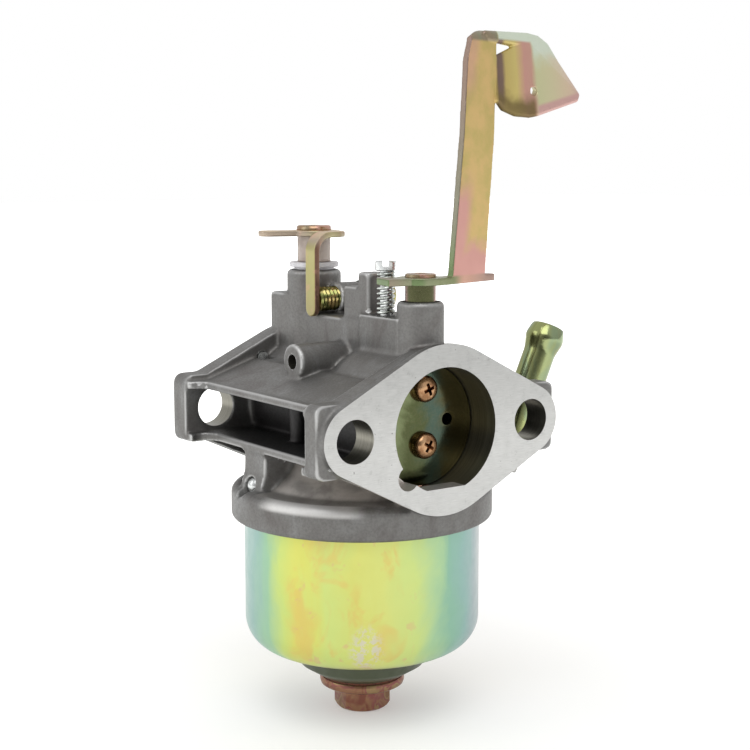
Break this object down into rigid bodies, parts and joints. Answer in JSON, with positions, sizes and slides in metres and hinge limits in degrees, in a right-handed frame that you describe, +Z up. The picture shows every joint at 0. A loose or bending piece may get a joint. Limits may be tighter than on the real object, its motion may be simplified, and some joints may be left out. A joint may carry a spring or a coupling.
{
  "type": "carburetor",
  "caption": "Float-bowl carburetor of a small engine, with upright throttle and choke shafts, a tall choke lever and a leaning fuel barb.",
  "frame": {"origin": "centre of the engine mounting face, on the axis of the main bore", "axes": "+Y along the main bore, out of the engine face; -Y is the air-filter side; +Z up, along the shafts; +X towards the fuel barb"},
  "size_m": [0.0742, 0.055, 0.1375],
  "materials": {
    "cast_aluminium": "fine-grained die casting, machined faces bright",
    "bright_metal": "bright metal",
    "yellow_zinc_tube": "yellow-passivated zinc, green cast",
    "gold_zinc_shaft": "yellow-passivated zinc, gold to pink",
    "brass_plate": "rolled brass",
    "copper_screws": "copper-toned pan-head screws",
    "yellow_zinc_lever": "yellow-passivated zinc, olive",
    "pale_nylon": "pale translucent nylon",
    "white_nylon": "white nylon",
    "yellow_zinc_screw": "yellow-passivated zinc thread",
    "spring_wire": "bright spring wire",
    "zinc_plate": "iridescent passivated sheet",
    "yellow_zinc_strap": "yellow-passivated zinc, gold with pink and green",
    "felt": "oiled felt",
    "brass": "turned brass",
    "yellow_zinc_bowl": "iridescent passivated pressing, yellow to blue-green",
    "black_rubber": "fuel-proof rubber",
    "red_zinc_bolt": "iridescent passivated bolt, coppery red",
    "fibre_washer": "red fibre",
    "float_plastic": "black foam plastic",
    "dark_needle": "plain metal with a rubber tip"
  },
  "bodies": {
    "carburetor_body": {"carb_body": "cast_aluminium", "passage_plugs": "bright_metal", "fuel_inlet_tube": "yellow_zinc_tube", "throttle_washer": "white_nylon", "idle_stop_spring": "spring_wire", "choke_shaft_seal": "felt", "pilot_screw_spring": "spring_wire", "pilot_jet": "brass", "float_bowl": "yellow_zinc_bowl", "bowl_gasket": "black_rubber", "bowl_bolt": "red_zinc_bolt", "bowl_bolt_washer": "fibre_washer", "float_pin": "bright_metal", "needle_seat": "brass", "main_jet": "brass", "main_nozzle": "brass"},
    "throttle": {"throttle_shaft": "gold_zinc_shaft", "throttle_plate": "brass_plate", "throttle_plate_screws": "copper_screws", "throttle_lever": "yellow_zinc_lever", "throttle_collar": "pale_nylon"},
    "choke": {"choke_shaft": "gold_zinc_shaft", "choke_plate": "zinc_plate", "choke_plate_screws": "copper_screws", "choke_lever": "yellow_zinc_strap"},
    "float_unit": {"float": "float_plastic"},
    "needle_unit": {"needle_valve": "dark_needle"},
    "idle_stop": {"idle_stop_screw": "yellow_zinc_screw"},
    "pilot": {"pilot_screw": "bright_metal"}
  },
  "joints": [
    {"name": "throttle_turn", "type": "hinge", "parent": "carburetor_body", "child": "throttle", "pos_m": [0, -0.01, 0], "axis": [0, 0, -1], "range_deg": [0, 72]},
    {"name": "choke_turn", "type": "hinge", "parent": "carburetor_body", "child": "choke", "pos_m": [0, -0.0467, 0], "axis": [0, 0, 1], "range_deg": [0, 75]},
    {"name": "float_swing", "type": "hinge", "parent": "carburetor_body", "child": "float_unit", "pos_m": [0.0195, -0.0273, -0.024], "axis": [0, 1, 0], "range_deg": [0, 7]},
    {"name": "needle_slide", "type": "slide", "parent": "carburetor_body", "child": "needle_unit", "axis": [0, 0, 1], "range_m": [0, 0.0006753]},
    {"name": "idle_stop_turn", "type": "hinge", "parent": "carburetor_body", "child": "idle_stop", "pos_m": [0.005, -0.0178, 0.0224], "axis": [1, 0, 0], "continuous": true},
    {"name": "pilot_turn", "type": "hinge", "parent": "carburetor_body", "child": "pilot", "pos_m": [-0.0025, -0.0389, 0.02], "axis": [0, 0, 1], "continuous": true}
  ],
  "couplings": [
    {"joint": "needle_slide", "follows": "float_swing", "m_per_rad": 0.0054863}
  ]
}
